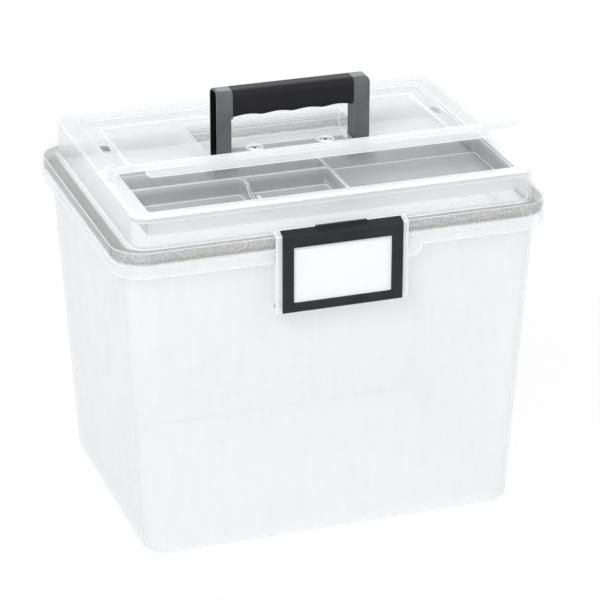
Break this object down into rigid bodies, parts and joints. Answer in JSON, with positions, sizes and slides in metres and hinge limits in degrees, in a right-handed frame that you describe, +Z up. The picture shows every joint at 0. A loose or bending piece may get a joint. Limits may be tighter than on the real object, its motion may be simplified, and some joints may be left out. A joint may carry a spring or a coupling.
{
  "type": "portable file box",
  "caption": "Clear plastic carrying box for hanging folders, with a sealed hinged lid, a front latch with a label frame, a fold-down handle and a lift-up organizer tray on top.",
  "frame": {"origin": "middle of the footprint, on the plane that the box stands on", "axes": "+Z up, -Y towards the front with the latch, +X to the right seen from the front"},
  "size_m": [0.35, 0.2607, 0.3375],
  "materials": {
    "clear_plastic": "clear, slightly frosted polypropylene",
    "frosted_plastic": "frosted translucent polypropylene",
    "seal_foam": "speckled grey closed-cell foam",
    "grey_plastic": "satin moulded plastic",
    "grip_rubber": "soft-touch matte",
    "black_plastic": "satin moulded plastic",
    "white_card": "plain matte card",
    "plated_steel": "zinc plated"
  },
  "bodies": {
    "bin": {"bin": "clear_plastic", "folder_rail_left": "clear_plastic", "folder_rail_right": "clear_plastic", "hinge_pin_left": "plated_steel", "hinge_pin_right": "plated_steel", "latch_pin": "plated_steel"},
    "lid": {"lid": "clear_plastic", "gasket": "seal_foam", "organizer_tray": "frosted_plastic", "handle_bracket": "plated_steel", "handle_pin_left": "plated_steel", "handle_pin_right": "plated_steel", "handle_screw_left": "plated_steel", "handle_screw_right": "plated_steel"},
    "organizer_door": {"organizer_door": "clear_plastic"},
    "handle": {"handle_frame": "grey_plastic", "handle_grip": "grip_rubber"},
    "latch": {"latch_body": "frosted_plastic", "latch_bezel": "black_plastic", "label_card": "white_card"}
  },
  "joints": [
    {"name": "lid_hinge", "type": "hinge", "parent": "bin", "child": "lid", "pos_m": [0, 0.1281, 0.2493], "axis": [-1, 0, 0], "range_deg": [0, 105]},
    {"name": "organizer_door_hinge", "type": "hinge", "parent": "lid", "child": "organizer_door", "pos_m": [0, -0.0295, 0.2914], "axis": [-1, 0, 0], "range_deg": [-22.5, 80]},
    {"name": "handle_fold", "type": "hinge", "parent": "lid", "child": "handle", "pos_m": [0, -0.0036, 0.2775], "axis": [-1, 0, 0], "range_deg": [0, 90]},
    {"name": "latch_hinge", "type": "hinge", "parent": "bin", "child": "latch", "pos_m": [0, -0.122, 0.2028], "axis": [1, 0, 0], "range_deg": [0, 95]}
  ]
}
